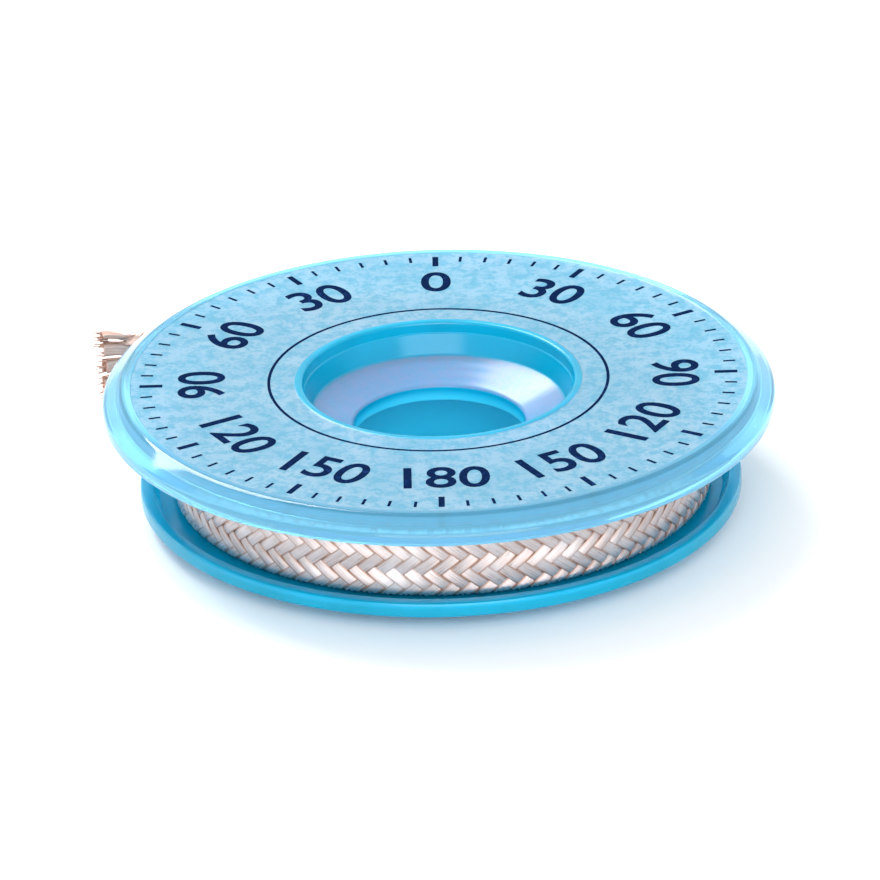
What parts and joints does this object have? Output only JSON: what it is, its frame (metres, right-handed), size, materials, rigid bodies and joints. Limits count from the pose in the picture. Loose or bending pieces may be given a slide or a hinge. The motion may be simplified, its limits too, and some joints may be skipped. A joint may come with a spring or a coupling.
{
  "type": "desoldering braid bobbin",
  "caption": "Flat round bobbin in clear blue plastic holding a wound copper desoldering braid, whose loose end sticks out past the rim.",
  "frame": {"origin": "on the bobbin's axis, in the plane of its base", "axes": "+Z along the bobbin's axis to its printed face; the braid's loose end leaves past the rim on the -X side, towards +Y"},
  "size_m": [0.05, 0.05, 0.0102],
  "materials": {
    "clear_blue_plastic": "glossy, see-through blue, with fine print on the top flange",
    "copper_braid": "flat braid of bright bare copper strands with a satin coat of dry flux"
  },
  "bodies": {
    "root": {"bobbin": "clear_blue_plastic", "braid": "copper_braid"}
  },
  "joints": []
}
